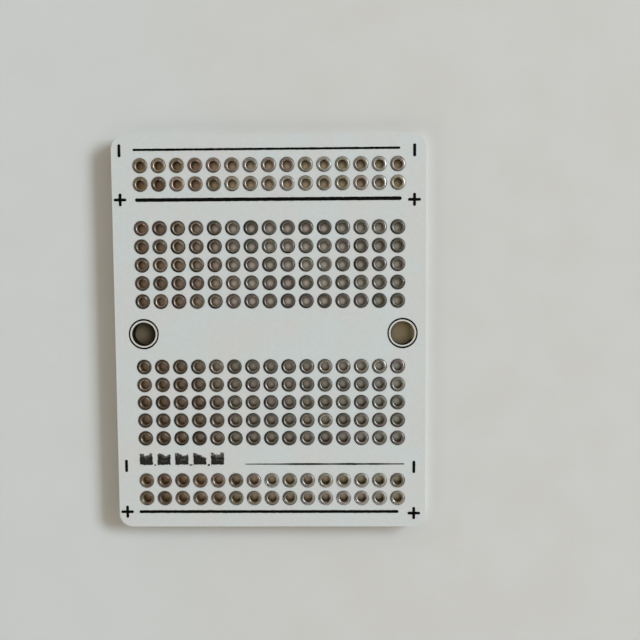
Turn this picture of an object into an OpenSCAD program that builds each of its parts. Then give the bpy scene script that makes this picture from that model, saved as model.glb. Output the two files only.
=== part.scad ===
// Bare prototyping board: a drilled laminate under a white solder mask, with plated holes
// on a square grid that are joined into strips and rails, and black printed lines.
// Millimetres, +Z up. The origin is the middle of the underside, X runs across the strips
// and Y along them. "Far" is the +Y half of the board and "near" is the -Y half.

/* [Board] */
// Distance from the outer columns of holes to the edge of the board
side_margin = 3.97; // [3.6:0.01:12]
// Distance from the outer rows of holes to the edge of the board
end_margin = 4.13; // [3.5:0.01:15]
// Thickness over the tinned pads of both faces
board_t = 1.6; // [0.8:0.1:3.2]
// Radius of the four corners
corner_r = 1.9; // [0.5:0.1:3]

/* [Layers] */
// Thickness of the copper on each face
copper_t = 0.035; // [0.018:0.001:0.1]
// Thickness of the tin on each pad
tin_t = 0.03; // [0.01:0.005:0.05]
// Thickness of the solder mask on each face
mask_t = 0.03; // [0.01:0.005:0.05]
// Thickness of the printed ink
ink_t = 0.02; // [0.01:0.005:0.05]

/* [Hole grid] */
// Distance between neighbouring holes
pitch = 2.54; // [2.1:0.01:3.2]
// Number of columns of holes
columns = 15; // [5:1:15]
// Number of holes in each strip
strip_holes = 5; // [2:1:5]
// Distance between the two fields of strips, from row to row
centre_gap = 9.2; // [7.6:0.1:12]
// Distance from a field to the rails beside it, from row to row
rail_gap = 6.07; // [5:0.01:8]

/* [Plated holes] */
// Clear width between neighbouring pads
pad_gap = 0.54; // [0.3:0.01:0.8]
// Diameter of each hole inside its plating
hole_d = 1.2; // [0.8:0.05:1.4]
// Thickness of the plating on the hole's wall
plating_t = 0.025; // [0.015:0.005:0.05]
// Bare laminate between a pad and the mask round it
mask_clearance = 0.06; // [0.03:0.01:0.1]
// Width of the trace along each strip
strip_trace_w = 0.9; // [0.4:0.1:1.2]
// Width of the trace along each rail
rail_trace_w = 1.3; // [0.6:0.1:1.5]

/* [Mounting holes] */
// Radius of both mounting holes
mount_hole_r = 1.6; // [1:0.05:1.7]
// Distance of the left mounting hole from the left edge
mount_left_edge = 4.05; // [2.5:0.05:12]
// Distance of the right mounting hole from the right edge
mount_right_edge = 3.25; // [2.5:0.05:12]
// Distance from a mounting hole's wall to the middle of the ring printed round it
ring_gap = 0.42; // [0.2:0.01:0.8]
// Line width of the printed ring
ring_w = 0.18; // [0.1:0.01:0.3]

/* [Rail print] */
// How far a rail's line runs past the centres of its outer holes
line_overrun = 0.63; // [0:0.01:0.8]
// Size of each plus and minus mark
mark_l = 1.75; // [1:0.05:1.9]
// Stroke width of each plus and minus mark
mark_w = 0.37; // [0.2:0.01:0.5]
// Distance of the left marks from the left edge
mark_left_edge = 1.15; // [1:0.01:1.8]
// Distance of the right marks from the right edge
mark_right_edge = 1.65; // [1:0.01:1.8]
// How much lower the print stands at the right marks than at the left ones
mark_drop = 0.22; // [0:0.01:0.5]

/* [Far ground rail print] */
// Distance of the line from its row of holes
far_ground_line_gap = 2.21; // [1.6:0.01:2.5]
// Width of the line
far_ground_line_w = 0.3; // [0.1:0.01:0.6]
// How far the line is shifted to the left
far_ground_line_shift = 0.27; // [0:0.01:0.5]
// Distance of the minus marks from the row of holes
far_ground_mark_gap = 2.06; // [1.9:0.01:2.4]

/* [Far supply rail print] */
// Distance of the line from its row of holes
far_supply_line_gap = 2.15; // [1.6:0.01:2.5]
// Width of the line
far_supply_line_w = 0.48; // [0.1:0.01:0.6]
// How far the line is shifted to the left
far_supply_line_shift = 0.08; // [0:0.01:0.5]
// Distance of the plus marks from the row of holes
far_supply_mark_gap = 2.12; // [1.9:0.01:2.4]

/* [Near ground rail print] */
// Distance of the line from its row of holes
near_ground_line_gap = 2.35; // [1.6:0.01:2.5]
// Width of the line
near_ground_line_w = 0.18; // [0.1:0.01:0.6]
// How far the line is shifted to the left
near_ground_line_shift = -0.3; // [-0.5:0.01:0.5]
// Length worn away from the left end of the line
near_ground_worn_l = 14.4; // [13.5:0.1:30]
// Distance of the minus marks from the row of holes
near_ground_mark_gap = 2.13; // [1.9:0.01:2.4]

/* [Near supply rail print] */
// Distance of the line from its row of holes
near_supply_line_gap = 1.98; // [1.6:0.01:2.5]
// Width of the line
near_supply_line_w = 0.4; // [0.1:0.01:0.6]
// How far the line is shifted to the left
near_supply_line_shift = 0.47; // [0:0.01:0.5]
// Distance of the plus marks from the row of holes
near_supply_mark_gap = 1.97; // [1.9:0.01:2.4]

/* [Legend blocks] */
// Number of blocks, one under each of the first near strips
legend_count = 5; // [1:1:5]
// Width of each block
legend_w = 2; // [1:0.05:2.1]
// Clear mask between the blocks and the openings of the strips above them
legend_far_gap = 0.91; // [0.3:0.01:1.3]
// Clear mask between the blocks and the openings of the rail below them
legend_near_gap = 1.14; // [0.3:0.01:1.3]

/* [Hidden] */
$fn = 48;

// Heights of the layers
skin_t = copper_t + max(tin_t, mask_t);
core_z0 = skin_t;
core_z1 = board_t - skin_t;
core_t = core_z1 - core_z0;
print_z = core_z1 + mask_t;

// Radii of the plated holes
bore_r = hole_d / 2;
drill_r = bore_r + plating_t;
pad_r = (pitch - pad_gap) / 2;
opening_r = pad_r + mask_clearance;

// Places of the columns, and of the rows of each field and rail
grid_half_w = (columns - 1) * pitch / 2;
column_xs = [for (i = [0 : columns - 1]) i * pitch - grid_half_w];
far_ys = [for (k = [strip_holes - 1 : -1 : 0]) centre_gap / 2 + k * pitch];
near_ys = [for (k = [0 : strip_holes - 1]) -centre_gap / 2 - k * pitch];
inner_rail_y = far_ys[0] + rail_gap;
outer_rail_y = inner_rail_y + pitch;

// Size of the board
board_w = 2 * (grid_half_w + side_margin);
board_l = 2 * (outer_rail_y + end_margin);

// Each rail: its name, the y of its row of holes, the side of the row that its print is on,
// then the gap, width, shift and worn length of its line and the gap of its marks
RAILS = [
    ["far_ground_rail", outer_rail_y, 1, far_ground_line_gap, far_ground_line_w,
     far_ground_line_shift, 0, far_ground_mark_gap],
    ["far_supply_rail", inner_rail_y, -1, far_supply_line_gap, far_supply_line_w,
     far_supply_line_shift, 0, far_supply_mark_gap],
    ["near_ground_rail", -inner_rail_y, 1, near_ground_line_gap, near_ground_line_w,
     near_ground_line_shift, near_ground_worn_l, near_ground_mark_gap],
    ["near_supply_rail", -outer_rail_y, -1, near_supply_line_gap, near_supply_line_w,
     near_supply_line_shift, 0, near_supply_mark_gap],
];
function rail_y(rail) = rail[1];
function is_supply(rail) = rail[2] < 0;
function line_y(rail) = rail[1] + rail[2] * rail[3];
function line_w(rail) = rail[4];
function line_shift(rail) = rail[5];
function line_worn(rail) = rail[6];
function mark_y(rail) = rail[1] + rail[2] * rail[7];

// Each strip: its name and the points of its holes
function strip_name(field, i) = str(field, "_strip_", i < 9 ? "0" : "", i + 1);
function strip_points(ys, i) = [for (y = ys) [column_xs[i], y]];
function rail_points(rail) = [for (x = column_xs) [x, rail_y(rail)]];
STRIPS = [
    for (i = [0 : columns - 1]) [strip_name("far", i), strip_points(far_ys, i)],
    for (i = [0 : columns - 1]) [strip_name("near", i), strip_points(near_ys, i)],
];
hole_points = [
    for (strip = STRIPS) each strip[1],
    for (rail = RAILS) each rail_points(rail),
];
mount_points = [[mount_left_edge - board_w / 2, 0], [board_w / 2 - mount_right_edge, 0]];

// Middle line of the ring round a mounting hole
ring_r = mount_hole_r + ring_gap;

// Ends of the legend blocks along the strips
legend_y0 = opening_r + legend_near_gap - inner_rail_y;
legend_y1 = rail_gap - opening_r - legend_far_gap - inner_rail_y;

// Flat shapes

module discs(points, r) {
    for (p = points) translate(p) circle(r);
}

module board_outline() {
    square([board_w - 2 * corner_r, board_l], center = true);
    square([board_w, board_l - 2 * corner_r], center = true);
    discs([for (x = [-1, 1], y = [-1, 1])
           [x * (board_w / 2 - corner_r), y * (board_l / 2 - corner_r)]], corner_r);
}

// A straight band from the first to the last of a row or column of points
module trace(points, w) {
    from = points[0];
    to = points[len(points) - 1];
    run = [abs(to[0] - from[0]), abs(to[1] - from[1])];
    translate((from + to) / 2)
        square(run[0] > run[1] ? [run[0], w] : [w, run[1]], center = true);
}

// Every trace on the back, wider by the extra on both sides
module traces(extra) {
    for (strip = STRIPS) trace(strip[1], strip_trace_w + 2 * extra);
    for (rail = RAILS) trace(rail_points(rail), rail_trace_w + 2 * extra);
}

// Layers

module laminate_core() {
    color("darkkhaki")
        translate([0, 0, core_z0]) linear_extrude(core_t) difference() {
            board_outline();
            discs(hole_points, drill_r);
            discs(mount_points, mount_hole_r);
        }
}

// What both masks leave open: the pads and the mounting holes
module openings() {
    discs(hole_points, opening_r);
    discs(mount_points, mount_hole_r);
}

module solder_mask_face() {
    color("whitesmoke")
        translate([0, 0, core_z1]) linear_extrude(mask_t) difference() {
            board_outline();
            openings();
        }
}

// The back's mask lies on the laminate and stands up over the traces that it covers
module solder_mask_back() {
    trace_z = core_z0 - copper_t;
    color("whitesmoke")
        difference() {
            union() {
                translate([0, 0, core_z0 - mask_t]) linear_extrude(mask_t) board_outline();
                translate([0, 0, trace_z - mask_t]) linear_extrude(copper_t + mask_t) traces(mask_t);
            }
            translate([0, 0, trace_z]) linear_extrude(2 * copper_t) traces(0);
            translate([0, 0, -mask_t]) linear_extrude(core_z0 + 2 * mask_t) openings();
        }
}

// Plated nets

// One hole's plating: the tube through the laminate and the tinned pad on each face
module plated_hole() {
    pad_t = copper_t + tin_t;
    rotate_extrude() polygon([
        [bore_r, core_z0 - pad_t], [pad_r, core_z0 - pad_t], [pad_r, core_z0],
        [drill_r, core_z0], [drill_r, core_z1],
        [pad_r, core_z1], [pad_r, core_z1 + pad_t], [bore_r, core_z1 + pad_t],
    ]);
}

// A row of plated holes and the trace that joins them under the back's mask
module net(points, trace_w) {
    color("lightslategray") {
        for (p = points) translate(p) plated_hole();
        translate([0, 0, core_z0 - copper_t]) linear_extrude(copper_t) difference() {
            trace(points, trace_w);
            discs(points, drill_r);
        }
    }
}

// Print

module rail_line(rail) {
    half = grid_half_w + line_overrun;
    l = 2 * half - line_worn(rail);
    translate([half - line_shift(rail) - l / 2, line_y(rail)])
        square([l, line_w(rail)], center = true);
}

module rail_lines() {
    color("black")
        translate([0, 0, print_z]) linear_extrude(ink_t)
            for (rail = RAILS) rail_line(rail);
}

// A bar along Y, crossed by a second bar where the rail is a supply rail
module polarity_mark(plus) {
    square([mark_w, mark_l], center = true);
    if (plus) square([mark_l, mark_w], center = true);
}

module polarity_marks() {
    left_x = mark_left_edge - board_w / 2;
    right_x = board_w / 2 - mark_right_edge;
    color("black")
        translate([0, 0, print_z]) linear_extrude(ink_t)
            for (rail = RAILS) {
                translate([left_x, mark_y(rail)]) polarity_mark(is_supply(rail));
                translate([right_x, mark_y(rail) - mark_drop]) polarity_mark(is_supply(rail));
            }
}

module mounting_hole_rings() {
    color("black")
        translate([0, 0, print_z]) linear_extrude(ink_t) difference() {
            discs(mount_points, ring_r + ring_w / 2);
            discs(mount_points, ring_r - ring_w / 2);
        }
}

module legend_blocks() {
    color("dimgray")
        translate([0, 0, print_z]) linear_extrude(ink_t)
            for (i = [0 : legend_count - 1])
                translate([column_xs[i] - legend_w / 2, legend_y0])
                    square([legend_w, legend_y1 - legend_y0]);
}

laminate_core();
solder_mask_face();
solder_mask_back();
for (rail = RAILS)
    net(rail_points(rail), rail_trace_w);
for (strip = STRIPS)
    net(strip[1], strip_trace_w);
rail_lines();
polarity_marks();
mounting_hole_rings();
legend_blocks();
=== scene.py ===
"""Prototype board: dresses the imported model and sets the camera, the floor and the light.

Lengths are millimetres until the last step of each mesh, which turns them into Blender's metres.
"""
import math
import random

import bmesh
import bpy
import numpy as np
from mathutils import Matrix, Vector, noise
from mathutils.geometry import delaunay_2d_cdt


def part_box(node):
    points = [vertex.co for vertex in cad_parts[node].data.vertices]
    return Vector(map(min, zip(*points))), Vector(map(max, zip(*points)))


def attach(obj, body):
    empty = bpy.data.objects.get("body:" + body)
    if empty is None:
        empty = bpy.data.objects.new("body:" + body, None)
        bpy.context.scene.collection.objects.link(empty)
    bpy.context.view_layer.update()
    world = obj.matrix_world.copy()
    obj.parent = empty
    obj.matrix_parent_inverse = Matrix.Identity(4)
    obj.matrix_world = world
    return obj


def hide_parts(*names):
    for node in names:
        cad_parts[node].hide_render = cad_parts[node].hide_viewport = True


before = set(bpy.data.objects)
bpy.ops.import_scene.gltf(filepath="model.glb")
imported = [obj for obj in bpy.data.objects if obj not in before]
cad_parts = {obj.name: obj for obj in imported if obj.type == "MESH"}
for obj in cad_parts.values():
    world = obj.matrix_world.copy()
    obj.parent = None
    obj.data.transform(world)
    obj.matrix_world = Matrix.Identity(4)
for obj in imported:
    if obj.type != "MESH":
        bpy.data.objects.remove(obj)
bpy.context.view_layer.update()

MM = 0.001

# Tinned nets
PAD_SEGMENTS = 32
PAD_DOME_R = 0.78
PAD_EDGE_FALL = 0.034
PAD_SHOULDER_W = 0.05
PAD_DISH = 0.004
MOUTH_ROUND = 0.14
HOLE_R = 0.6
BARREL_R = 0.625
TRACE_T = 0.035
STRIP_TRACE_W = 0.9
RAIL_TRACE_W = 1.3
DRILL_SHIFT = (0.02, -0.01)
SHIFT_MOST = 0.026
# Tones of the bore: painted shade, darkest near the face
BARREL_TOP_TONE = np.array((0.16, 0.12, 0.075))
BARREL_LOW_TONE = np.array((0.42, 0.34, 0.26))
# Oxidised copper and tin; at each pad's foot this dark rim also stands for painted shade
OXIDE_AND_SHADE_TONE = np.array((0.018, 0.015, 0.013))
LEANS = [(1.0, 0.98, 0.92), (0.95, 1.0, 0.93), (1.02, 0.94, 1.0), (1.0, 0.99, 0.97)]
# Painted reflections: the tin leans browner at the left end, greyer at the right and warmer on the rails
LEFT_LEAN = np.array((1.04, 0.90, 0.79))
RIGHT_LEAN = np.array((0.98, 0.98, 0.945))
RAIL_LEAN = np.array((1.03, 0.995, 0.93))
# The side of each hole away from the window: there the foot gets painted shade and the barrel's wall
# painted light
AWAY_FROM_WINDOW_HEADING = math.radians(215)
# Where the mouths of the left pads get a painted highlight
HIGHLIGHT_HEADING = math.radians(48)
# Tin brightness at the left and right end of each zone: painted reflections
PAD_VALUES = {"far rails": (0.66, 0.90), "far field": (0.43, 0.355),
              "near field": (0.32, 0.50), "near rails": (0.45, 0.99)}
PAD_SPREAD = 0.19

# Solder masks
OPENING_GAP = 0.04
OPENING_SEGMENTS = 48
MASK_T = 0.03
MASK_LIP = 0.014
MASK_SLOPE_W = 0.075
MASK_AGED = (1.0, 0.945, 0.885, 1.0)
# How dark the mask gets round the pads: thinner mask and painted shade
MASK_THIN_AND_SHADE = 0.80
MOUNT_OPENING_R = 1.67
MOUNT_OPENING_SHIFT = np.array((-0.03, 0.025))
MOUNT_SEGMENTS = 96
CORNER_R = 1.9
CORNER_SEGMENTS = 14

# Ink
INK_STEP = 0.05
INK_SPREAD = 0.02
BLACK = 0.0015
MARK_W = 0.37
# How far the printed lines drifted up or down, by their height on the board
LINE_HEIGHTS = (-25.4, 18.6, 25.5)
LINE_DRIFTS = (0.02, -0.012, -0.055)
RING_W = 0.255
RING_SHIFT = np.array((-0.02, 0.045))
RING_GROWTH = 0.03
NOISE_SEED = 11.3

# How each legend block is worn: where its notch is, its depth, the worn side and the streaks
LEGEND_WEAR = [
    (0.5, 1.0, 0.0, ()),
    (0.6, 0.8, 0.1, (0.32,)),
    (0.68, 0.9, 0.0, (0.42,)),
    (0.9, 0.3, 0.9, ()),
    (0.45, 0.45, 0.0, (0.38, 0.62)),
]
# Specks between the blocks: after which block, and half their size
LEGEND_SPECKS = [(0, np.array([0.10, 0.09])), (2, np.array([0.20, 0.07])),
                 (3, np.array([0.15, 0.12]))]

# Light, in degrees: the azimuth runs from +X towards +Y
WINDOW_AZIMUTH = 18
WINDOW_ELEVATION = 23
WINDOW_WIDE = 30
WINDOW_HIGH = 11
WINDOW_DISTANCE = 2.5
WINDOW_POWER = 58.4
WINDOW_COLOUR = (0.89, 1.0, 1.09)

# Between the fields and the rails
RAIL_ZONE_Y = 18.0

FLOOR_SIZE = 4.0
FLOOR_Z = -0.02

# Painted light: the sheet's glow under the board, by place, standing for light that the laminate lets
# through
GLOW_FAR = ((0.084, 0.051, 0.031), (0.236, 0.210, 0.180), (0.168, 0.162, 0.131))
GLOW_NEAR = ((0.075, 0.048, 0.031), (0.134, 0.119, 0.102), (0.146, 0.158, 0.136))
GLOW_FAR_RAIL_SHARE = (0.78, 0.65, 0.49)
GLOW_NEAR_RAIL_SHARE = (1.0, 0.86, 0.66)
GLOW_SHIFT = (-0.05, -0.10)
GLOW_MOUNT_OFF = (0.71, 0.44)
GLOW_MOUNT_R = (1.95, 2.6)
GLOW_MOUNT_LEFT = (0.018, 0.013, 0.007)
GLOW_MOUNT_RIGHT = (0.070, 0.052, 0.030)


# Reading the frame

def box_mm(node):
    """Lowest and highest corner of a node, in millimetres."""
    low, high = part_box(node)
    return np.array(low) / MM, np.array(high) / MM


def solids_of(node):
    """Boxes (low, high) of the separate solids in a node, in millimetres."""
    bm = bmesh.new()
    bm.from_mesh(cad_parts[node].data)
    bmesh.ops.remove_doubles(bm, verts=bm.verts, dist=1e-7)
    left = set(bm.verts)
    boxes = []
    while left:
        front = [left.pop()]
        seen = []
        while front:
            vert = front.pop()
            seen.append(vert.co[:])
            for edge in vert.link_edges:
                other = edge.other_vert(vert)
                if other in left:
                    left.remove(other)
                    front.append(other)
        points = np.array(seen) / MM
        boxes.append((points.min(0), points.max(0)))
    bm.free()
    return sorted(boxes, key=lambda b: (round(b[0][0], 2), b[0][1]))


NET_NODES = [n for n in sorted(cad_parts) if n.endswith("_rail") or "_strip_" in n]
CORE_LOW, CORE_HIGH = box_mm("laminate_core")
PAD_R = np.ptp(box_mm("far_strip_01"), axis=0)[0] / 2
PITCH = box_mm("far_strip_02")[0][0] - box_mm("far_strip_01")[0][0]
PAD_T = box_mm("far_strip_01")[1][2] - CORE_HIGH[2]
OPENING_R = PAD_R + OPENING_GAP


def net_holes(node):
    """Centres of a net's holes, from one end to the other."""
    low, high = box_mm(node)
    start = low[:2] + PAD_R
    end = high[:2] - PAD_R
    count = round(max(end - start) / PITCH) + 1
    return [start + (end - start) * i / (count - 1) for i in range(count)]


NETS = {node: net_holes(node) for node in NET_NODES}
ALL_HOLES = np.array([p for node in NET_NODES for p in NETS[node]])


def trace_w(node):
    return RAIL_TRACE_W if node.endswith("_rail") else STRIP_TRACE_W


def mounting_holes():
    """Centres of the mounting holes, from the rings printed round them."""
    return [(low[:2] + high[:2]) / 2 for low, high in solids_of("mounting_hole_rings")]


MOUNT_HOLES = mounting_holes()


# Meshes

def new_piece(name, points, faces, nodes, material, sharp_deg=40.0):
    """A piece on the root body that stands for the nodes. Points are in millimetres."""
    mesh = bpy.data.meshes.new(name)
    mesh.from_pydata((np.asarray(points) * MM).tolist(), [], faces)
    mesh.update()
    mesh.shade_smooth()
    mesh.set_sharp_from_angle(angle=math.radians(sharp_deg))
    piece = bpy.data.objects.new(name, mesh)
    bpy.context.scene.collection.objects.link(piece)
    piece.data.materials.append(material)
    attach(piece, "root")
    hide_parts(*nodes)
    return piece


def paint(piece, name, colours):
    """Stores one colour for each vertex, which a material reads by its name, and with a fourth
    value its alpha."""
    layer = piece.data.attributes.new(name, "FLOAT_COLOR", "POINT")
    rgba = np.ones((len(colours), 4), dtype=np.float32)
    rgba[:, :colours.shape[1]] = colours
    layer.data.foreach_set("color", rgba.ravel())


def flatten_level_faces(piece):
    """Level faces are shaded flat, so the round lips beside them don't bend their light."""
    for face in piece.data.polygons:
        if abs(face.normal.z) > 0.99999:
            face.use_smooth = False


# Materials

def feed(tree, socket, value):
    if isinstance(value, bpy.types.NodeSocket):
        tree.links.new(value, socket)
    else:
        socket.default_value = value


def add(tree, kind, inputs=None, **settings):
    """A new node with its settings, and values or links for its inputs."""
    made = tree.nodes.new(kind)
    for key, value in settings.items():
        setattr(made, key, value)
    for key, value in (inputs or {}).items():
        feed(tree, made.inputs[key], value)
    return made


def calc(tree, operation, a, b=0.0, c=0.0):
    return add(tree, "ShaderNodeMath", {0: a, 1: b, 2: c}, operation=operation).outputs[0]


def spread(tree, value, from_low, from_high, to_low=0.0, to_high=1.0, smooth=True):
    """Maps a value from one span to another, clamped."""
    inputs = {"Value": value, "From Min": from_low, "From Max": from_high,
              "To Min": to_low, "To Max": to_high}
    kind = "SMOOTHSTEP" if smooth else "LINEAR"
    return add(tree, "ShaderNodeMapRange", inputs, interpolation_type=kind).outputs["Result"]


def blend(tree, factor, a, b, kind="MIX"):
    """Mixes two colours."""
    made = add(tree, "ShaderNodeMix", data_type="RGBA", blend_type=kind)
    feed(tree, made.inputs[0], factor)
    feed(tree, made.inputs[6], a)
    feed(tree, made.inputs[7], b)
    return made.outputs[2]


def grain(tree, size_mm, detail=2.0, roughness=0.5, stretch=(1, 1, 1)):
    """Noise with features of about that size, fixed to the object."""
    place = add(tree, "ShaderNodeTexCoord").outputs["Object"]
    scale = Vector(stretch) / (size_mm * MM)
    place = add(tree, "ShaderNodeVectorMath", {0: place, 1: scale}, operation="MULTIPLY").outputs[0]
    inputs = {"Vector": place, "Scale": 1.0, "Detail": detail, "Roughness": roughness}
    return add(tree, "ShaderNodeTexNoise", inputs).outputs[0]


def bump(tree, height, distance_mm, strength=1.0, normal=None):
    inputs = {"Height": height, "Distance": distance_mm * MM, "Strength": strength}
    if normal is not None:
        inputs["Normal"] = normal
    return add(tree, "ShaderNodeBump", inputs).outputs[0]


def pick(tree, choice, a, b):
    """a where the choice is 0 and b where it is 1."""
    return calc(tree, "MULTIPLY_ADD", calc(tree, "SUBTRACT", b, a), choice, a)


def distance(tree, a, b):
    return calc(tree, "SQRT", calc(tree, "MULTIPLY_ADD", a, a, calc(tree, "MULTIPLY", b, b)))


def grey(tree, value):
    return add(tree, "ShaderNodeCombineColor", {0: value, 1: value, 2: value}).outputs[0]


def centre_offset(tree, place, origin_mm, shift_mm):
    """Distance along one axis from the nearest place on the hole grid that runs through origin."""
    cells = calc(tree, "MULTIPLY_ADD", place, 1 / (PITCH * MM), 0.5 - (origin_mm + shift_mm) / PITCH)
    return calc(tree, "MULTIPLY", calc(tree, "SUBTRACT", calc(tree, "FRACT", cells), 0.5), PITCH * MM)


def hole_distance(tree, x, y, shift_mm=(0.0, 0.0)):
    """Distance from the nearest place on the hole grid of the field or rails that y lies in."""
    off_x = centre_offset(tree, x, 0.0, shift_mm[0])
    rows = [centre_offset(tree, y, NETS[net][0][1], shift_mm[1])
            for net in ("near_strip_01", "far_strip_01", "near_supply_rail", "far_supply_rail")]
    far = calc(tree, "GREATER_THAN", y, 0.0)
    rail = calc(tree, "GREATER_THAN", calc(tree, "ABSOLUTE", y), RAIL_ZONE_Y * MM)
    off_y = pick(tree, rail, pick(tree, far, *rows[:2]), pick(tree, far, *rows[2:]))
    return distance(tree, off_x, off_y)


def within(tree, value, low_mm, high_mm):
    """1 where a value lies between two lengths and 0 elsewhere."""
    return calc(tree, "MULTIPLY", calc(tree, "GREATER_THAN", value, low_mm * MM),
                calc(tree, "LESS_THAN", value, high_mm * MM))


def new_material(name):
    """A material with a Principled shader: returns it, its tree and the shader."""
    material = bpy.data.materials.new(name)
    material.use_nodes = True
    tree = material.node_tree
    tree.nodes.clear()
    shader = add(tree, "ShaderNodeBsdfPrincipled")
    add(tree, "ShaderNodeOutputMaterial", {"Surface": shader.outputs[0]})
    return material, tree, shader


def rgb(red, green, blue):
    return (red, green, blue, 1.0)


def tin_material():
    """Dull, tarnished tin. Each pad brings its own tone, which also carries painted reflections, painted
    shade and painted highlights.
    """
    material, tree, shader = new_material("tarnished_tin")
    own = add(tree, "ShaderNodeAttribute", attribute_name="tone")
    stain = spread(tree, grain(tree, 0.35, 3.0), 0.35, 0.7, 1.0, 0.72)
    colour = blend(tree, 1.0, own.outputs["Color"], grey(tree, stain), "MULTIPLY")
    shader.inputs["Metallic"].default_value = 1.0
    feed(tree, shader.inputs["Base Color"], colour)
    rough = spread(tree, grain(tree, 0.12), 0.3, 0.7, 0.8, 1.2)
    feed(tree, shader.inputs["Roughness"], calc(tree, "MULTIPLY", rough, own.outputs["Alpha"]))
    feed(tree, shader.inputs["Normal"], bump(tree, grain(tree, 0.18, 3.0), 0.006, 0.5))
    return material


def row_span(*nets):
    """Lowest and highest y that the holes of some far nets reach, with half a pitch round them."""
    rows = [hole[1] for net in nets for hole in NETS[net]]
    return min(rows) - PITCH / 2, max(rows) + PITCH / 2


def mask_material():
    """White solder mask: satin, with a faint mottle and the skin of a cured film. Round the pads it is
    darker: partly thinner mask, partly painted shade.
    """
    material, tree, shader = new_material("white_mask")
    warm = rgb(0.80, 0.818, 0.825)
    cool = rgb(0.775, 0.838, 0.852)
    mottle = spread(tree, grain(tree, 5.0, 3.0), 0.35, 0.65)
    colour = blend(tree, mottle, warm, cool)
    fine = spread(tree, grain(tree, 0.5, 4.0), 0.3, 0.7, 0.97, 1.0)
    colour = blend(tree, 1.0, colour, grey(tree, fine), "MULTIPLY")
    place = add(tree, "ShaderNodeTexCoord").outputs["Object"]
    x, y, _ = add(tree, "ShaderNodeSeparateXYZ", {0: place}).outputs
    hole_x = pick(tree, calc(tree, "GREATER_THAN", x, 0.0), *[h[0] * MM for h in MOUNT_HOLES])
    away = distance(tree, calc(tree, "SUBTRACT", x, hole_x), y)
    aged = blend(tree, 1.0, colour, MASK_AGED, "MULTIPLY")
    colour = blend(tree, spread(tree, away, 1.95 * MM, 2.15 * MM), aged, colour)
    row = calc(tree, "ABSOLUTE", y)
    rows = calc(tree, "MAXIMUM", within(tree, row, *row_span("far_strip_01")),
                within(tree, row, *row_span("far_supply_rail", "far_ground_rail")))
    columns = calc(tree, "LESS_THAN", calc(tree, "ABSOLUTE", x),
                   (abs(NETS["far_strip_01"][0][0]) + PITCH / 2) * MM)
    # Round each pad the mask darkens: partly thin mask over the copper, partly painted shade.
    thin = spread(tree, hole_distance(tree, x, y), 1.03 * MM, 1.24 * MM, MASK_THIN_AND_SHADE, 1.0)
    thin = pick(tree, calc(tree, "MULTIPLY", rows, columns), 1.0, thin)
    colour = blend(tree, 1.0, colour, grey(tree, thin), "MULTIPLY")
    feed(tree, shader.inputs["Base Color"], colour)
    feed(tree, shader.inputs["Roughness"], spread(tree, grain(tree, 0.8), 0.3, 0.7, 0.36, 0.46))
    feed(tree, shader.inputs["Normal"], bump(tree, grain(tree, 0.3, 2.0), 0.0025, 0.4))
    return material


def laminate_material():
    """Glass-epoxy laminate with plies and paler routed edges. Its drilled walls are near-black, save
    those on the right that face lower left, which are olive as painted light; its faces under the masks
    are near-black, painted shade in the gaps round the openings.
    """
    material, tree, shader = new_material("glass_epoxy")
    place = add(tree, "ShaderNodeTexCoord").outputs["Object"]
    x, y, z = add(tree, "ShaderNodeSeparateXYZ", {0: place}).outputs
    ply = calc(tree, "SINE", calc(tree, "MULTIPLY", z, 2 * math.pi / (0.19 * MM)))
    fibre = grain(tree, 0.3, 3.0, stretch=(1, 1, 9))
    layer = spread(tree, calc(tree, "ADD", calc(tree, "MULTIPLY", ply, 0.12), fibre), 0.3, 0.75)
    normal = add(tree, "ShaderNodeNewGeometry").outputs["Normal"]
    face_x, face_y, _ = add(tree, "ShaderNodeSeparateXYZ", {0: normal}).outputs
    # Painted light: on the right half of the board, drilled walls that face lower left are olive; all
    # others are near-black.
    painted_lit_side = calc(tree, "MULTIPLY", calc(tree, "GREATER_THAN", x, 0.0),
                 spread(tree, calc(tree, "ADD", face_x, face_y), -0.1, -0.8))
    olive = blend(tree, layer, rgb(0.55, 0.50, 0.16), rgb(0.75, 0.70, 0.30))
    near_black = blend(tree, layer, rgb(0.006, 0.004, 0.003), rgb(0.016, 0.011, 0.007))
    inner = blend(tree, painted_lit_side, near_black, olive)
    outer = blend(tree, layer, rgb(0.40, 0.38, 0.31), rgb(0.58, 0.57, 0.50))
    inset = 0.6 * MM
    side = calc(tree, "GREATER_THAN", calc(tree, "ABSOLUTE", x), CORE_HIGH[0] * MM - inset)
    end = calc(tree, "GREATER_THAN", calc(tree, "ABSOLUTE", y), CORE_HIGH[1] * MM - inset)
    edge = calc(tree, "MAXIMUM", side, end)
    # The faces under the masks show only in the gaps round the openings; their near-black is painted
    # shade.
    middle = (CORE_LOW[2] + CORE_HIGH[2]) / 2 * MM
    deep = calc(tree, "ABSOLUTE", calc(tree, "SUBTRACT", z, middle))
    skin = calc(tree, "GREATER_THAN", deep, (CORE_HIGH[2] - CORE_LOW[2]) / 2 * MM - 1e-6)
    walls = blend(tree, edge, inner, outer)
    feed(tree, shader.inputs["Base Color"], blend(tree, skin, walls, rgb(0.02, 0.017, 0.010)))
    feed(tree, shader.inputs["Roughness"], spread(tree, fibre, 0.3, 0.7, 0.6, 0.85))
    shader.inputs["Specular IOR Level"].default_value = 0.02
    feed(tree, shader.inputs["Normal"], bump(tree, layer, 0.01, 0.6))
    return material


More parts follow.
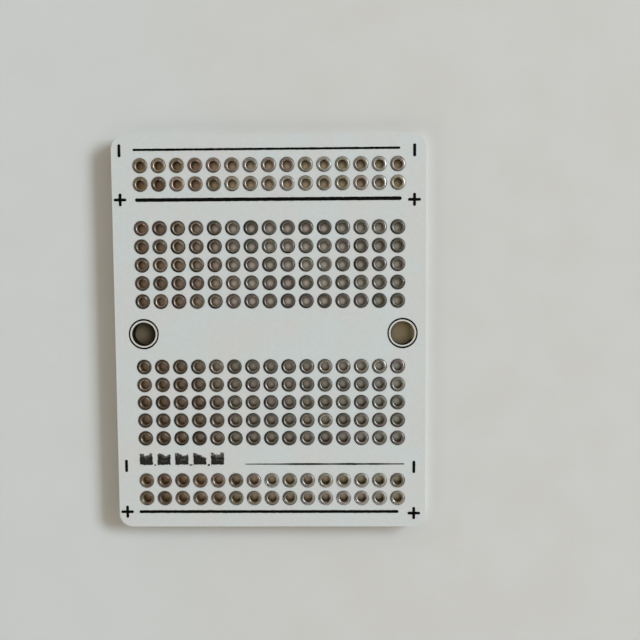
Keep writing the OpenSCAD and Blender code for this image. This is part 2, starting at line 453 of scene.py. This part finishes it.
def ink_material():
    """Black screen-printed ink. Where it is worn thin, its own tone is lighter."""
    material, tree, shader = new_material("black_ink")
    tone = add(tree, "ShaderNodeAttribute", attribute_name="tone").outputs["Color"]
    speck = spread(tree, grain(tree, 0.12, 3.0), 0.45, 0.8, 0.0, 0.4)
    colour = blend(tree, speck, tone, rgb(0.012, 0.011, 0.009))
    feed(tree, shader.inputs["Base Color"], colour)
    feed(tree, shader.inputs["Roughness"], spread(tree, grain(tree, 0.2), 0.3, 0.7, 0.45, 0.62))
    shader.inputs["Specular IOR Level"].default_value = 0.12
    feed(tree, shader.inputs["Normal"], bump(tree, grain(tree, 0.1, 2.0), 0.004, 0.4))
    return material


def glow_along(tree, x, left, middle, right):
    """The colour of the painted glow from the left end of the board to the right one."""
    colour = blend(tree, spread(tree, x, -17 * MM, -1 * MM), rgb(*left), rgb(*middle))
    return blend(tree, spread(tree, x, 5 * MM, 18 * MM), colour, rgb(*right))


def floor_material():
    """A plain pale matte sheet. Where the board hides it, it glows: painted light for the light that the
    holes show, standing for what translucent laminate lets through. There, painted shade also makes it
    browner and darker, and the glow and the shade fall off away from each hole's lit spot."""
    material, tree, shader = new_material("pale_sheet")
    place = add(tree, "ShaderNodeTexCoord").outputs["Object"]
    x, y, _ = add(tree, "ShaderNodeSeparateXYZ", {0: place}).outputs
    tint = spread(tree, grain(tree, 9.0, 3.0), 0.3, 0.7)
    right = blend(tree, tint, rgb(0.775, 0.775, 0.77), rgb(0.79, 0.795, 0.795))
    left = blend(tree, tint, rgb(0.775, 0.81, 0.82), rgb(0.79, 0.825, 0.84))
    sheet = blend(tree, spread(tree, x, -35 * MM, 15 * MM), left, right)
    shader.inputs["Roughness"].default_value = 0.9
    shader.inputs["Specular IOR Level"].default_value = 0.2
    feed(tree, shader.inputs["Normal"], bump(tree, grain(tree, 0.6, 4.0), 0.02, 0.3))
    off_axis = calc(tree, "ABSOLUTE", y)
    nearer = spread(tree, y, 4 * MM, -4 * MM)
    glow = blend(tree, nearer, glow_along(tree, x, *GLOW_FAR), glow_along(tree, x, *GLOW_NEAR))
    share = blend(tree, nearer, rgb(*GLOW_FAR_RAIL_SHARE), rgb(*GLOW_NEAR_RAIL_SHARE))
    glow = blend(tree, spread(tree, off_axis, 16 * MM, 19 * MM), glow,
                 blend(tree, 1.0, glow, share, "MULTIPLY"))
    mount = calc(tree, "LESS_THAN", off_axis, 3 * MM)
    # Painted light and shade: the glow falls off from each plated hole, and in the mounting holes from a
    # lit spot left of their middle
    fall = spread(tree, hole_distance(tree, x, y, GLOW_SHIFT), 0.1 * MM, 0.62 * MM, 1.0, 0.22)
    at_right = calc(tree, "GREATER_THAN", x, 0.0)
    lit_x = [(hole[0] - off) * MM for hole, off in zip(MOUNT_HOLES, GLOW_MOUNT_OFF)]
    lit_r = [radius * MM for radius in GLOW_MOUNT_R]
    off_mount = calc(tree, "SUBTRACT", x, pick(tree, at_right, *lit_x))
    mount_light_fall = spread(tree, distance(tree, off_mount, calc(tree, "ADD", y, 0.085 * MM)),
                        0.2 * MM, pick(tree, at_right, *lit_r), 1.0, 0.14)
    faint = blend(tree, at_right, rgb(*GLOW_MOUNT_LEFT), rgb(*GLOW_MOUNT_RIGHT))
    glow = blend(tree, mount, glow, faint)
    shade = grey(tree, pick(tree, mount, fall, mount_light_fall))
    feed(tree, shader.inputs["Emission Color"], blend(tree, 1.0, glow, shade, "MULTIPLY"))
    behind = add(tree, "ShaderNodeNewGeometry").outputs["Backfacing"]
    covered = calc(tree, "LESS_THAN", calc(tree, "ABSOLUTE", x), (CORE_HIGH[0] - 2) * MM)
    covered = calc(tree, "MULTIPLY", covered, calc(tree, "SUBTRACT", 1.0, behind))
    covered = calc(tree, "MULTIPLY", covered,
                   calc(tree, "LESS_THAN", off_axis, (CORE_HIGH[1] - 2) * MM))
    feed(tree, shader.inputs["Emission Strength"], covered)
    # Painted shade: under the board the sheet is browner and darker, and in the mounting holes it darkens
    # away from the lit spot
    shaded_sheet_under_board = blend(tree, 1.0, rgb(0.77, 0.71, 0.59), grey(tree, pick(tree, mount, 1.0, mount_light_fall)),
                   "MULTIPLY")
    feed(tree, shader.inputs["Base Color"], blend(tree, covered, sheet, shaded_sheet_under_board))
    material.cycles.emission_sampling = "NONE"
    return material


# Tinned nets

def pad_profile():
    """The closed section (r, z) of one plated hole, from the face pad's foot round to itself."""
    half = []
    top = PAD_T - PAD_DISH
    edge_r = PAD_R - PAD_SHOULDER_W
    edge_z = top - PAD_EDGE_FALL
    for angle in (0, 30, 60, 82):
        a = math.radians(angle)
        half.append((edge_r + PAD_SHOULDER_W * math.cos(a), edge_z * math.sin(a)))
    dome = PAD_R - PAD_SHOULDER_W - PAD_DOME_R
    for share in (0.85, 0.65, 0.4, 0.15):
        half.append((PAD_DOME_R + dome * share, top - PAD_EDGE_FALL * share ** 2))
    mouth_r = HOLE_R + MOUTH_ROUND
    for angle in (0, 12, 24, 36, 50, 66, 90):
        a = math.radians(angle)
        half.append((mouth_r - MOUTH_ROUND * math.sin(a), top - MOUTH_ROUND * (1 - math.cos(a))))
    half.append((HOLE_R, -0.3))
    face = [(r, CORE_HIGH[2] + z) for r, z in half]
    middle = (CORE_LOW[2] + CORE_HIGH[2]) / 2
    back = [(r, 2 * middle - z) for r, z in reversed(face)]
    barrel = [(BARREL_R, CORE_LOW[2]), (BARREL_R, CORE_HIGH[2])]
    return face + back + barrel


def smooth(value, low, high):
    """0 below low, 1 above high and a smooth rise between."""
    t = np.clip((value - low) / (high - low), 0, 1)
    return t * t * (3 - 2 * t)


def pad_tones(profile, centre, rng):
    """Colour and roughness at each point of a plated hole: tarnished tin whose tone differs at random,
    with painted reflections that make it browner towards the left end and brighter on the rails.
    Painted shade darkens the barrel, darkest near the face, and its wall on the side away from the
    window gets painted light. The foot has a dark rim of oxidised tin with painted shade, heavier on
    that side and thinner on the rails and towards the right end; the left pads get a painted
    highlight in the mouth."""
    grey = smooth(centre[0], -12.0, -1.0)
    rail = smooth(abs(centre[1]), 16.0, 19.0)
    zone = "rails" if rail > 0.5 else "field"
    left, right = PAD_VALUES[("far " if centre[1] > 0 else "near ") + zone]
    # Brightness and lean by place are painted reflections; the spread from pad to pad is the tin's own.
    value = (left + (right - left) * smooth(centre[0], -16.0, 10.0)) * max(0.55, rng.gauss(1, PAD_SPREAD))
    lean = np.array(rng.choice(LEANS)) * (LEFT_LEAN + (RIGHT_LEAN - LEFT_LEAN) * grey)
    lean = lean * (1 + (RAIL_LEAN - 1) * rail)
    pad = np.minimum(value * lean, 0.9)
    angles = np.arange(PAD_SEGMENTS) * 2 * math.pi / PAD_SEGMENTS
    # Painted shade: a dark foot, thicker on the side away from the window, thinner on the rails and
    # towards the right end.
    thick = (1 - 0.7 * rail) * (1 - 0.55 * smooth(centre[0], 1.0, 9.0))
    heading = AWAY_FROM_WINDOW_HEADING + rng.gauss(0, 0.35)
    uneven = rng.uniform(0.06, 0.19) * (0.35 + 0.65 * np.maximum(0, np.cos(angles - heading)))
    foot = 0.03 + thick * uneven
    # A painted highlight in the mouth, on the left pads only.
    painted_highlight = (1 - grey) * rng.uniform(0.3, 1.0) * smooth(np.cos(angles - HIGHLIGHT_HEADING), 0.82, 0.97)
    tones = np.empty((PAD_SEGMENTS, len(profile), 4))
    for k, (r, z) in enumerate(profile):
        depth = min(abs(z - CORE_HIGH[2]), abs(z - CORE_LOW[2]))
        inside = CORE_LOW[2] < z < CORE_HIGH[2]
        dark = min(depth / 0.12, 1.0) if inside else 0.0
        mouth = 0 if inside else float(smooth(-r, -0.78, -0.70))
        oxide_and_shade = 0 if inside else np.clip((r - (PAD_R - foot)) / 0.05, 0, 1)
        tone = np.minimum(pad * (1 - (0.1 * grey + 0.3 * rail) * mouth), 0.95)
        # Painted shade in the bore, darkest near the face; on the side away from the window its wall gets
        # painted light.
        low_share = smooth(-z, -CORE_HIGH[2] + 0.3, -CORE_LOW[2] - 0.3)
        barrel = BARREL_TOP_TONE + (BARREL_LOW_TONE - BARREL_TOP_TONE) * low_share
        barrel = np.outer(1 + np.maximum(0, np.cos(angles - AWAY_FROM_WINDOW_HEADING)), barrel)
        tone = tone + (barrel - tone) * dark
        if 0.61 < r < 0.75 and not inside:
            tone = tone + np.reshape(painted_highlight, (-1, 1)) * (0.95 - tone)
        tones[:, k, :3] = tone + (OXIDE_AND_SHADE_TONE - tone) * np.reshape(oxide_and_shade, (-1, 1))
        tones[:, k, 3] = 0.34 + 0.14 * mouth + 0.36 * dark + 0.25 * oxide_and_shade
    return tones.reshape(-1, 4)


def plated_hole(centre, profile, rng):
    """Points and faces of one plated hole. Its tin is a little uneven, as dipped tin is."""
    count = len(profile)
    angles = np.arange(PAD_SEGMENTS) * 2 * math.pi / PAD_SEGMENTS
    r = np.array([p[0] for p in profile])
    z = np.array([p[1] for p in profile])
    middle = (CORE_LOW[2] + CORE_HIGH[2]) / 2
    top = np.abs(z - middle) > (CORE_HIGH[2] - middle) + 1e-6
    rim = np.clip((r - HOLE_R) / (PAD_R - HOLE_R), 0, 1)
    uneven = [rng.gauss(0, 0.003) for _ in range(2)]
    turn = [rng.uniform(0, 2 * math.pi) for _ in range(4)]
    wobble = rng.uniform(0.004, 0.012)
    losses = [(lobes, rng.uniform(0, 0.05), rng.uniform(0, 2 * math.pi)) for lobes in (2, 3, 5)]
    shift = [DRILL_SHIFT[i] + rng.gauss(0, 0.012) for i in range(2)]
    length = math.hypot(*shift)
    shift = [part * min(1, SHIFT_MOST / length) for part in shift]
    points = []
    for a in angles:
        sag = abs(uneven[0] * math.cos(a + turn[0])) + abs(uneven[1] * math.cos(2 * a + turn[1]))
        loose = 1 - rim
        radius = r + np.where(top, rim * (1 - rim) * 4 * wobble * math.cos(3 * a + turn[2]), 0)
        loss = sum(deep * (0.5 + 0.5 * math.cos(lobes * a + at)) for lobes, deep, at in losses)
        radius = radius - np.where(top, rim ** 4 * loss, 0)
        height = np.where(top, z - np.sign(z - middle) * sag, z)
        x = centre[0] + radius * math.cos(a) + loose * shift[0]
        y = centre[1] + radius * math.sin(a) + loose * shift[1]
        points.append(np.stack([x, y, height], 1))
    faces = []
    for k in range(PAD_SEGMENTS):
        here = k * count
        there = (k + 1) % PAD_SEGMENTS * count
        for m in range(count):
            n = (m + 1) % count
            faces.append((here + m, there + m, there + n, here + n))
    return np.concatenate(points), faces


def trace_box(start, end, width):
    """Points and faces of the trace between two pads on the back."""
    run = end - start
    along = run / np.linalg.norm(run)
    across = np.array([-along[1], along[0]]) * width / 2
    inset = along * (PAD_R - 0.15)
    corners = [start + inset - across, end - inset - across, end - inset + across,
               start + inset + across]
    low, high = CORE_LOW[2] - TRACE_T, CORE_LOW[2]
    points = [(*c, z) for z in (low, high) for c in corners]
    faces = [(3, 2, 1, 0), (4, 5, 6, 7), (0, 1, 5, 4), (1, 2, 6, 5), (2, 3, 7, 6), (3, 0, 4, 7)]
    return np.array(points), faces


def tinned_nets(material):
    """One piece for each strip and rail, with its pads, barrels and trace."""
    rng = random.Random(5)
    profile = pad_profile()
    for node in NET_NODES:
        points, faces, tones = [], [], []
        total = 0
        holes = NETS[node]
        blocks = []
        for centre in holes:
            block = plated_hole(centre, profile, rng)
            blocks.append((*block, pad_tones(profile, centre, rng)))
        for start, end in zip(holes, holes[1:]):
            block = trace_box(start, end, trace_w(node))
            blocks.append((*block, np.tile((*OXIDE_AND_SHADE_TONE, 0.5), (len(block[0]), 1))))
        for block_points, block_faces, block_tones in blocks:
            faces += [tuple(i + total for i in face) for face in block_faces]
            points.append(block_points)
            tones.append(block_tones)
            total += len(block_points)
        piece = new_piece(f"tinned_{node}", np.concatenate(points), faces, [node],
                          material)
        paint(piece, "tone", np.concatenate(tones))


# Solder masks

def outline_loop(inset):
    """The board's outline, set in by a distance, counterclockwise."""
    radius = CORNER_R - inset
    points = []
    for quarter, (sx, sy) in enumerate([(1, 1), (-1, 1), (-1, -1), (1, -1)]):
        cx = sx * (CORE_HIGH[0] - CORNER_R)
        cy = sy * (CORE_HIGH[1] - CORNER_R)
        for k in range(CORNER_SEGMENTS + 1):
            a = math.pi / 2 * (quarter + k / CORNER_SEGMENTS)
            points.append((cx + radius * math.cos(a), cy + radius * math.sin(a)))
    return np.array(points)


def opening_angles(node, index):
    """Angles of the points round an opening, with those where a trace's slope meets it."""
    holes = NETS[node]
    angles = set(np.round(np.arange(OPENING_SEGMENTS) * 2 * math.pi / OPENING_SEGMENTS, 6))
    for step in (-1, 1):
        if 0 <= index + step < len(holes):
            run = holes[index + step] - holes[index]
            heading = math.atan2(run[1], run[0])
            for offset in slope_offsets(node):
                turn = math.asin(offset / (OPENING_R + MASK_LIP))
                angles |= {round((heading + s * turn) % (2 * math.pi), 6) for s in (-1, 1)}
    kept = []
    for a in sorted(angles):
        if not kept or a - kept[-1] > 1e-4:
            kept.append(a)
    return np.array(kept)


def slope_offsets(node):
    """Distances from a trace's middle line where the mask's slope beside it has its edges."""
    half = trace_w(node) / 2 + 0.005
    return [half, half + MASK_SLOPE_W * 0.35, half + MASK_SLOPE_W * 0.7, half + MASK_SLOPE_W]


def trace_lift(points):
    """How far the back's mask stands up at each point, over the nearest trace."""
    lift = np.zeros(len(points))
    for node in NET_NODES:
        start, end = NETS[node][0], NETS[node][-1]
        run = end - start
        share = np.clip((points - start) @ run / (run @ run), 0, 1)
        away = np.linalg.norm(points - start - share[:, None] * run, axis=1)
        down = np.clip((away - slope_offsets(node)[0]) / MASK_SLOPE_W, 0, 1)
        lift = np.maximum(lift, TRACE_T * (0.5 + 0.5 * np.cos(math.pi * down)))
    return lift


def circle(centre, radius, angles):
    return np.array(centre) + radius * np.stack([np.cos(angles), np.sin(angles)], 1)


def solder_mask(name, node, z_inner, outward, with_relief, material):
    """A mask as a closed sheet with soft lips round its openings and its outline."""
    around = np.arange(MOUNT_SEGMENTS) * 2 * math.pi / MOUNT_SEGMENTS
    holes = [(c + MOUNT_OPENING_SHIFT, MOUNT_OPENING_R, around) for c in MOUNT_HOLES]
    plain = np.arange(OPENING_SEGMENTS) * 2 * math.pi / OPENING_SEGMENTS
    owner = {}
    for net in NET_NODES:
        for index, centre in enumerate(NETS[net]):
            angles = opening_angles(net, index) if with_relief else plain
            owner[net, index] = len(holes)
            holes.append((centre, OPENING_R, angles))

    def loops(lip):
        rings = [outline_loop(lip)]
        rings += [circle(c, r + lip, angles) for c, r, angles in holes]
        return rings

    flat = loops(MASK_LIP)
    starts = np.cumsum([0] + [len(ring) for ring in flat])
    points = np.concatenate(flat)
    edges = [(starts[k] + i, starts[k] + (i + 1) % len(ring))
             for k, ring in enumerate(flat) for i in range(len(ring))]
    if with_relief:
        edges += slope_edges(owner, holes, starts)
    found, _, triangles, origin, _, _ = delaunay_2d_cdt(
        [Vector(p) for p in points], [tuple(map(int, e)) for e in edges], [], 0, 1e-7)
    if len(found) != len(points):
        raise ValueError(f"{name}: the triangulation added {len(found) - len(points)} points")
    order = [ids[0] for ids in origin]
    triangles = [tuple(order[i] for i in t) for t in triangles]
    triangles = keep_covered(points, triangles, holes)

    lift = trace_lift(points) if with_relief else np.zeros(len(points))
    levels = []
    for lip_share, depth_share in ((1.0, 0.0), (0.5, 0.134), (0.134, 0.5), (0.0, 1.0)):
        xy = np.concatenate(loops(MASK_LIP * lip_share))
        z = z_inner + outward * (MASK_T + lift - MASK_LIP * depth_share)
        levels.append(np.column_stack([xy, z]))
    levels.append(np.column_stack([np.concatenate(loops(0.0)), z_inner + outward * lift]))
    count = len(points)
    up = [t if outward > 0 else t[::-1] for t in triangles]
    down = [tuple(i + 4 * count for i in t[::-1]) for t in up]
    walls = []
    for level in range(4):
        for k, ring in enumerate(flat):
            turn = 1 if (k == 0) == (outward > 0) else -1
            for i in range(len(ring)):
                a = int(starts[k] + i)
                b = int(starts[k] + (i + 1) % len(ring))
                quad = [a + (level + 1) * count, b + (level + 1) * count, b + level * count,
                        a + level * count]
                walls.append(tuple(quad[::turn]))
    piece = new_piece(name, np.concatenate(levels), up + down + walls, [node],
                      material)
    flatten_level_faces(piece)
    return piece


def slope_edges(owner, holes, starts):
    """Edges along both sides of each trace, from one opening to the next."""
    edges = []
    for net in NET_NODES:
        for index in range(len(NETS[net]) - 1):
            run = NETS[net][index + 1] - NETS[net][index]
            heading = math.atan2(run[1], run[0])
            for offset in slope_offsets(net):
                turn = math.asin(offset / (OPENING_R + MASK_LIP))
                for side in (-1, 1):
                    a = nearest_point(holes, starts, owner[net, index], heading + side * turn)
                    b = nearest_point(holes, starts, owner[net, index + 1],
                                      heading + math.pi - side * turn)
                    edges.append((a, b))
    return edges


def nearest_point(holes, starts, k, angle):
    """Index of the point of opening k that lies at an angle."""
    angles = holes[k][2]
    away = np.abs((angles - angle + math.pi) % (2 * math.pi) - math.pi)
    return starts[k + 1] + int(np.argmin(away))


def keep_covered(points, triangles, holes):
    """The triangles that lie on the board and in no opening."""
    centres = points[np.array(triangles)].mean(1)
    inside = np.all(np.abs(centres) <= CORE_HIGH[:2], axis=1)
    corner = np.abs(centres) - (CORE_HIGH[:2] - CORNER_R)
    beyond = (corner > 0).all(1) & (np.hypot(corner[:, 0], corner[:, 1]) > CORNER_R - MASK_LIP)
    keep = inside & ~beyond
    for centre, radius, _ in holes:
        keep &= np.hypot(*(centres - centre).T) > radius
    return [t for t, k in zip(triangles, keep) if k]


# Ink

def value_noise(x, y, size_mm, salt=0.0):
    """Smooth noise from -1 to 1 over arrays of places, the same each run."""
    flat = [noise.noise(Vector((a / size_mm, b / size_mm, NOISE_SEED + salt)))
            for a, b in zip(x.ravel(), y.ravel())]
    return 2.0 * np.array(flat).reshape(x.shape)


def film(field, low, high, step=INK_STEP):
    """A film where field(x, y) > 0, by marching squares: points and faces of a closed sheet."""
    low, high = np.array(low) - 1.5 * step, np.array(high) + 1.5 * step
    nx, ny = (np.ceil((high - low) / step).astype(int) + 1)
    x, y = np.meshgrid(low[0] + step * np.arange(nx), low[1] + step * np.arange(ny), indexing="ij")
    f = field(x, y)
    f = np.where(np.abs(f) < 1e-6, 1e-6, f)
    names, flat, polygons = {}, [], []

    def corner(i, j):
        key = (i, j)
        if key not in names:
            names[key] = len(flat)
            flat.append((x[i, j], y[i, j]))
        return names[key]

    def crossing(i, j, k, m):
        key = (min((i, j), (k, m)), max((i, j), (k, m)))
        if key not in names:
            t = f[i, j] / (f[i, j] - f[k, m])
            names[key] = len(flat)
            flat.append((x[i, j] + t * (x[k, m] - x[i, j]), y[i, j] + t * (y[k, m] - y[i, j])))
        return names[key]

    inside = f > 0
    touched = inside[:-1, :-1] | inside[1:, :-1] | inside[:-1, 1:] | inside[1:, 1:]
    for i, j in zip(*np.nonzero(touched)):
        ring = [(i, j), (i + 1, j), (i + 1, j + 1), (i, j + 1)]
        polygon = []
        for here, there in zip(ring, ring[1:] + ring[:1]):
            if inside[here]:
                polygon.append(corner(*here))
            if inside[here] != inside[there]:
                polygon.append(crossing(*here, *there))
        polygons.append(tuple(polygon))
    return np.array(flat), polygons


def thicken(flat, polygons, low_z, high_z):
    """Gives a flat film its thickness: top, bottom and walls."""
    count = len(flat)
    points = np.concatenate([np.column_stack([flat, np.full(count, z)]) for z in (high_z, low_z)])
    directed = {(a, b) for p in polygons for a, b in zip(p, p[1:] + p[:1])}
    walls = [(a + count, b + count, b, a) for a, b in directed if (b, a) not in directed]
    bottoms = [tuple(i + count for i in reversed(p)) for p in polygons]
    return points, polygons + bottoms + sorted(walls)


def print_ink(name, node, jobs, material):
    """One piece of ink for a node. Each job is a field with its limits and its tone."""
    low_z, high_z = box_mm(node)[0][2], box_mm(node)[1][2]
    points, faces, tones = [], [], []
    total = 0
    for field, low, high, tone in jobs:
        flat, polygons = film(field, low, high)
        block, block_faces = thicken(flat, polygons, low_z, high_z)
        faces += [tuple(i + total for i in face) for face in block_faces]
        points.append(block)
        shade = tone(block[:, 0], block[:, 1]) if callable(tone) else np.full(len(block), tone)
        tones.append(np.outer(shade, (1.0, 0.96, 0.9)))
        total += len(block)
    piece = new_piece(name, np.concatenate(points), faces, [node], material)
    paint(piece, "tone", np.concatenate(tones))
    return piece


def bar_field(low, high, ragged, salt):
    """A bar with round ends in a box, with a slightly uneven edge."""
    half = (high - low) / 2
    middle = (high + low) / 2
    radius = min(half)
    reach = half - radius

    def field(x, y):
        dx = np.maximum(np.abs(x - middle[0]) - reach[0], 0)
        dy = np.maximum(np.abs(y - middle[1]) - reach[1], 0)
        edge = radius + INK_SPREAD - np.hypot(dx, dy)
        return edge - ragged * (0.5 + 0.5 * value_noise(x, y, 0.5, salt))

    return field


def union(*fields):
    return lambda x, y: np.maximum.reduce([f(x, y) for f in fields])


def rail_line_jobs():
    """Four lines; the one beside the near ground rail is worn thin and grey."""
    jobs = []
    for salt, (low, high) in enumerate(solids_of("rail_lines")):
        low, high = low[:2], high[:2]
        if high[1] - low[1] < 0.2:
            jobs.append(worn_line_job(low, high))
        else:
            drift = (0, np.interp(low[1], LINE_HEIGHTS, LINE_DRIFTS))
            low, high = low + drift, high + drift
            jobs.append((bar_field(low, high, 0.03, salt), low, high, BLACK))
    return jobs


def worn_line_job(low, high):
    """A line that fades and thins towards both ends."""
    middle = (low[1] + high[1]) / 2

    def sound(x):
        body = (0.3 + 0.7 * smooth(x, low[0] + 1, low[0] + 9)) * smooth(x, low[0] - 1, low[0] + 2)
        body = body * (0.5 + 0.5 * smooth(-x, -high[0], 7 - high[0]))
        return body * (0.85 + 0.25 * value_noise(x, np.zeros_like(x), 2.5, 40.0))

    def field(x, y):
        half = 0.058 + 0.08 * sound(x) + 0.008 * value_noise(x, y, 0.4, 41.0)
        ends = np.minimum(x - low[0], high[0] - x)
        return np.minimum(half - np.abs(y - middle), ends)

    return field, low, high, lambda x, y: 0.19 - 0.16 * np.clip(sound(x), 0, 1)


def mark_jobs():
    """Minus marks are one bar and plus marks two."""
    jobs = []
    for salt, (low, high) in enumerate(solids_of("polarity_marks")):
        low, high = low[:2], high[:2]
        stroke = MARK_W / 2
        middle = (low + high) / 2
        upright = bar_field(np.array([middle[0] - stroke, low[1]]),
                            np.array([middle[0] + stroke, high[1]]), 0.02, salt + 10)
        field = upright
        if high[0] - low[0] > 2 * MARK_W:
            level = bar_field(np.array([low[0], middle[1] - stroke]),
                              np.array([high[0], middle[1] + stroke]), 0.02, salt + 30)
            field = union(upright, level)
        jobs.append((field, low, high, BLACK))
    return jobs


def ring_jobs():
    jobs = []
    for low, high in solids_of("mounting_hole_rings"):
        middle = (low + high)[:2] / 2 + RING_SHIFT
        radius = (high - low)[0] / 2 - RING_W / 2 + RING_GROWTH

        def field(x, y, middle=middle, radius=radius):
            away = np.hypot(x - middle[0], y - middle[1])
            thin = 0.028 * ((x - middle[0]) / radius) ** 2
            ragged = 0.008 * (1 + value_noise(x, y, 0.6, 50.0))
            return RING_W / 2 - np.abs(away - radius) - ragged - thin

        jobs.append((field, low[:2] - 0.1, high[:2] + 0.1, BLACK))
    return jobs


def legend_jobs():
    """Worn blocks of ink. Each has lost its top, and a notch, a side or a streak, in its own way,
    and a few specks lie between them."""
    boxes = [(low[:2], high[:2]) for low, high in solids_of("legend_blocks")]
    jobs = [worn_block_job(low, high, 60.0 + k, *LEGEND_WEAR[k])
            for k, (low, high) in enumerate(boxes)]
    for k, half in LEGEND_SPECKS:
        middle = np.array([(boxes[k][1][0] + boxes[k + 1][0][0]) / 2, boxes[k][0][1] + 0.04])
        jobs.append((bar_field(middle - half, middle + half, 0.0, 0), middle - half, middle + half,
                     0.008))
    return jobs


def worn_block_job(low, high, salt, notch, notch_depth, slant, streaks):
    """A block with a notch in its top, a worn right side and light streaks across it."""
    size = high - low

    def wear(x, y):
        """0 where the ink is sound and 1 where it is gone."""
        u = (x - low[0]) / size[0]
        v = (y - low[1]) / size[1]
        lost = 0.9 * smooth(v, 0.5, 1.05)
        lost = lost + notch_depth * np.exp(-((u - notch) / 0.22) ** 2 - ((v - 1.0) / 0.38) ** 2)
        lost = lost + slant * smooth(0.8 * u + v, 0.95, 1.5)
        for level in streaks:
            lost = lost + 0.35 * np.exp(-((v - level) / 0.05) ** 2) * smooth(u, 0.15, 0.5)
        return lost + 0.22 * value_noise(x, y, 0.32, salt)

    def field(x, y):
        rim = np.minimum.reduce([x - low[0], high[0] - x, y - low[1], high[1] - y])
        ragged = 0.085 + 0.05 * value_noise(x, y, 0.25, salt + 10)
        return np.minimum(rim - ragged, 0.5 * (0.85 - wear(x, y)))

    def tone(x, y):
        return 0.026 + 0.32 * np.clip(wear(x, y), 0, 1) ** 2

    return field, low, high, tone


# Floor, light and camera

def make_floor(material):
    half = FLOOR_SIZE / 2
    mesh = bpy.data.meshes.new("floor")
    corners = [(-half, -half), (half, -half), (half, half), (-half, half)]
    mesh.from_pydata([(*corner, FLOOR_Z * MM) for corner in corners], [], [(0, 1, 2, 3)])
    floor = bpy.data.objects.new("floor", mesh)
    floor.data.materials.append(material)
    bpy.context.scene.collection.objects.link(floor)


def direction(azimuth, elevation):
    a, e = math.radians(azimuth), math.radians(elevation)
    return Vector((math.cos(a) * math.cos(e), math.sin(a) * math.cos(e), math.sin(e)))


def make_window():
    """One broad soft light low at the right."""
    light = bpy.data.lights.new("window", "AREA")
    light.shape = "RECTANGLE"
    light.size = 2 * WINDOW_DISTANCE * math.tan(math.radians(WINDOW_WIDE / 2))
    light.size_y = 2 * WINDOW_DISTANCE * math.tan(math.radians(WINDOW_HIGH / 2))
    light.energy = WINDOW_POWER
    light.color = WINDOW_COLOUR
    lamp = bpy.data.objects.new("window", light)
    towards = direction(WINDOW_AZIMUTH, WINDOW_ELEVATION)
    lamp.location = towards * WINDOW_DISTANCE
    lamp.rotation_euler = towards.to_track_quat("Z", "Y").to_euler()
    bpy.context.scene.collection.objects.link(lamp)


def lobe(tree, ray, azimuth, elevation, inner, outer):
    """1 near a direction and 0 far from it, with a smooth fall between two angles."""
    towards = add(tree, "ShaderNodeCombineXYZ", dict(enumerate(direction(azimuth, elevation))))
    dot = add(tree, "ShaderNodeVectorMath", {0: ray, 1: towards.outputs[0]},
              operation="DOT_PRODUCT").outputs["Value"]
    return spread(tree, dot, math.cos(math.radians(outer)), math.cos(math.radians(inner)))


def make_sky():
    """Pale walls low all round, and a dark ceiling that is darkest over the lower left."""
    world = bpy.data.worlds.new("studio")
    bpy.context.scene.world = world
    world.use_nodes = True
    tree = world.node_tree
    tree.nodes.clear()
    ray = add(tree, "ShaderNodeTexCoord").outputs["Generated"]
    x, y, z = add(tree, "ShaderNodeSeparateXYZ", {0: ray}).outputs
    ceiling = blend(tree, spread(tree, x, -0.22, 0.02), rgb(0.13, 0.095, 0.066),
                    rgb(0.24, 0.23, 0.19))
    wall = rgb(0.80, 0.70, 0.58)
    colour = blend(tree, spread(tree, z, 0.5, 0.72), wall, ceiling)
    person = lobe(tree, ray, 225, 50, 12, 38)
    colour = blend(tree, person, colour, rgb(0.03, 0.025, 0.02))
    lamp = lobe(tree, ray, 222, 27, 4, 10)
    colour = blend(tree, lamp, colour, rgb(4.5, 4.2, 3.7))
    background = add(tree, "ShaderNodeBackground", {"Color": colour, "Strength": 1.0})
    add(tree, "ShaderNodeOutputWorld", {"Surface": background.outputs[0]})


def make_camera():
    camera = bpy.data.cameras.new("camera")
    camera.lens = 40.5
    camera.sensor_width = 36
    camera.clip_start = 0.005
    camera.clip_end = 20
    eye = bpy.data.objects.new("camera", camera)
    eye.location = (0.00861, 0.00859, 0.10172)
    eye.rotation_euler = [math.radians(a) for a in (-3.819, 0.909, -0.346)]
    bpy.context.scene.collection.objects.link(eye)
    bpy.context.scene.camera = eye


make_camera()
make_window()
make_sky()
make_floor(floor_material())
bpy.context.scene.view_settings.view_transform = "Standard"

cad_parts["laminate_core"].data.materials.clear()
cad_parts["laminate_core"].data.materials.append(laminate_material())
mask = mask_material()
solder_mask("mask_face", "solder_mask_face", CORE_HIGH[2], 1, False, mask)
solder_mask("mask_back", "solder_mask_back", CORE_LOW[2], -1, True, mask)
tinned_nets(tin_material())
ink = ink_material()
print_ink("print_lines", "rail_lines", rail_line_jobs(), ink)
print_ink("print_marks", "polarity_marks", mark_jobs(), ink)
print_ink("print_rings", "mounting_hole_rings", ring_jobs(), ink)
print_ink("print_legend", "legend_blocks", legend_jobs(), ink)
